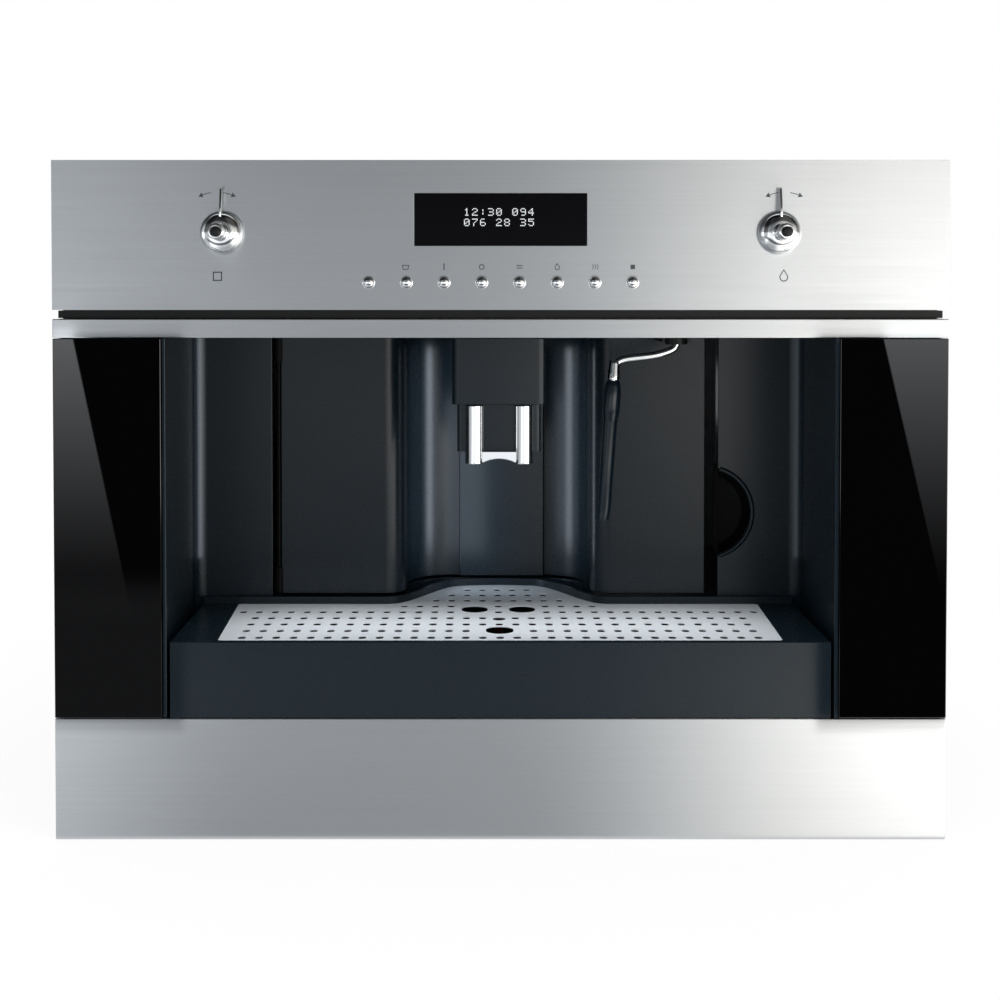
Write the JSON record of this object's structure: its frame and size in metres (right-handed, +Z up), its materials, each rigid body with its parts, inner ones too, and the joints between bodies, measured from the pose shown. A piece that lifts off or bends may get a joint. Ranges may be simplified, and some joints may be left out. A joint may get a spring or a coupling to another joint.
{
  "type": "built-in coffee machine",
  "caption": "Built-in bean-to-cup coffee machine with steel and glass front, dials and display, cup alcove with swing-out service door, sliding spout, steam wand and drip tray.",
  "frame": {"origin": "centre of the bounding box in plan, on the surface the machine stands on", "axes": "+X to the right as seen by the user, front faces -Y, +Z up"},
  "size_m": [0.597, 0.41, 0.455],
  "materials": {
    "brushed_stainless": "brushed, fine horizontal grain",
    "chrome": "polished",
    "galvanised_sheet": "satin, zinc coated",
    "cast_aluminium": "as cast",
    "black_glass": "gloss, backed black",
    "dark_plastic": "moulded, satin blue-black",
    "black_plastic": "moulded, fine texture",
    "clear_plastic": "clear, lightly smoked",
    "circuit_board": "lacquered",
    "pump_metal": "satin",
    "rubber": "matte",
    "red_plastic": "moulded"
  },
  "bodies": {
    "root": {"control_panel": "brushed_stainless", "display_window": "black_glass", "control_board": "circuit_board", "trim_strip": "brushed_stainless", "lower_panel": "brushed_stainless", "side_glass_left": "black_glass", "side_glass_right": "black_glass", "front_frame": "black_plastic", "alcove_liner_left": "dark_plastic", "alcove_liner_right": "dark_plastic", "finger_pull": "dark_plastic", "alcove_ceiling": "dark_plastic", "tray_shelf": "galvanised_sheet", "door_hinge_pin": "galvanised_sheet", "chassis_base": "galvanised_sheet", "foot_rail_left": "rubber", "foot_rail_right": "rubber", "side_panel_left": "galvanised_sheet", "side_panel_right": "galvanised_sheet", "rear_cover": "galvanised_sheet", "top_cover": "galvanised_sheet", "power_inlet": "black_plastic", "bay_floor": "dark_plastic", "upper_shelf": "galvanised_sheet", "bean_hopper": "clear_plastic", "grinder": "cast_aluminium", "brew_unit": "dark_plastic", "grounds_container": "dark_plastic", "boiler": "cast_aluminium", "water_pump": "pump_metal", "power_board": "circuit_board"},
    "knob_left": {"knob_left": "chrome", "knob_left_cap": "black_plastic"},
    "knob_right": {"knob_right": "chrome", "knob_right_cap": "black_plastic"},
    "button_1": {"button_1": "chrome"},
    "button_2": {"button_2": "chrome"},
    "button_3": {"button_3": "chrome"},
    "button_4": {"button_4": "chrome"},
    "button_5": {"button_5": "chrome"},
    "button_6": {"button_6": "chrome"},
    "button_7": {"button_7": "chrome"},
    "button_8": {"button_8": "chrome"},
    "service_door": {"service_door": "dark_plastic", "spout_cover": "dark_plastic", "wand_mount": "black_plastic"},
    "spout_slide": {"spout_slider": "dark_plastic", "spout_outlets": "chrome"},
    "steam_wand": {"wand_tube": "chrome", "wand_sleeve": "black_plastic"},
    "drip_tray": {"drip_tray": "dark_plastic"},
    "cup_grid": {"cup_grid": "brushed_stainless"},
    "tray_float": {"tray_float": "red_plastic"},
    "water_tank": {"water_tank": "clear_plastic", "tank_lid": "dark_plastic"},
    "hopper_lid": {"hopper_lid": "dark_plastic"},
    "grind_adjuster": {"grind_adjuster": "black_plastic"},
    "power_rocker": {"power_rocker": "black_plastic"},
    "runner_channels": {"runner_channel_left": "galvanised_sheet", "runner_channel_right": "galvanised_sheet"}
  },
  "joints": [
    {"name": "knob_left_turn", "type": "hinge", "parent": "root", "child": "knob_left", "pos_m": [-0.185, -0.175, 0.4066], "axis": [0, 1, 0], "continuous": true},
    {"name": "knob_right_turn", "type": "hinge", "parent": "root", "child": "knob_right", "pos_m": [0.185, -0.175, 0.4066], "axis": [0, 1, 0], "continuous": true},
    {"name": "button_1_press", "type": "slide", "parent": "root", "child": "button_1", "axis": [0, 1, 0], "range_m": [0, 0.001], "stiffness_N_per_m": 400},
    {"name": "button_2_press", "type": "slide", "parent": "root", "child": "button_2", "axis": [0, 1, 0], "range_m": [0, 0.001], "stiffness_N_per_m": 400},
    {"name": "button_3_press", "type": "slide", "parent": "root", "child": "button_3", "axis": [0, 1, 0], "range_m": [0, 0.001], "stiffness_N_per_m": 400},
    {"name": "button_4_press", "type": "slide", "parent": "root", "child": "button_4", "axis": [0, 1, 0], "range_m": [0, 0.001], "stiffness_N_per_m": 400},
    {"name": "button_5_press", "type": "slide", "parent": "root", "child": "button_5", "axis": [0, 1, 0], "range_m": [0, 0.001], "stiffness_N_per_m": 400},
    {"name": "button_6_press", "type": "slide", "parent": "root", "child": "button_6", "axis": [0, 1, 0], "range_m": [0, 0.001], "stiffness_N_per_m": 400},
    {"name": "button_7_press", "type": "slide", "parent": "root", "child": "button_7", "axis": [0, 1, 0], "range_m": [0, 0.001], "stiffness_N_per_m": 400},
    {"name": "button_8_press", "type": "slide", "parent": "root", "child": "button_8", "axis": [0, 1, 0], "range_m": [0, 0.001], "stiffness_N_per_m": 400},
    {"name": "service_door_swing", "type": "hinge", "parent": "root", "child": "service_door", "pos_m": [-0.1655, -0.0345, 0.237], "axis": [0, 0, -1], "range_deg": [0, 80]},
    {"name": "spout_height", "type": "slide", "parent": "service_door", "child": "spout_slide", "axis": [0, 0, -1], "range_m": [0, 0.032]},
    {"name": "wand_swivel", "type": "hinge", "parent": "service_door", "child": "steam_wand", "pos_m": [0.127, -0.095, 0.332], "axis": [0, 0, 1], "range_deg": [0, 90]},
    {"name": "drip_tray_slide", "type": "slide", "parent": "root", "child": "drip_tray", "axis": [0, -1, 0], "range_m": [0, 0.2]},
    {"name": "cup_grid_lift", "type": "slide", "parent": "drip_tray", "child": "cup_grid", "axis": [0, 0, -1], "range_m": [-0.05, 0]},
    {"name": "tray_float_rise", "type": "slide", "parent": "drip_tray", "child": "tray_float", "axis": [0, 0, 1], "range_m": [0, 0.006]},
    {"name": "water_tank_lift", "type": "slide", "parent": "root", "child": "water_tank", "axis": [0, 0, 1], "range_m": [0, 0.15]},
    {"name": "hopper_lid_open", "type": "hinge", "parent": "root", "child": "hopper_lid", "pos_m": [-0.005, 0.157, 0.4498], "axis": [-1, 0, 0], "range_deg": [0, 100]},
    {"name": "grind_adjuster_turn", "type": "hinge", "parent": "root", "child": "grind_adjuster", "pos_m": [0.044, 0.098, 0.41], "axis": [0, 0, 1], "range_deg": [-60, 60]},
    {"name": "power_rocker_tilt", "type": "hinge", "parent": "root", "child": "power_rocker", "pos_m": [-0.139, 0.199, 0.055], "axis": [1, 0, 0], "range_deg": [0, 14]},
    {"name": "runner_slide", "type": "slide", "parent": "root", "child": "runner_channels", "axis": [0, 1, 0], "range_m": [0, 0.26]}
  ]
}
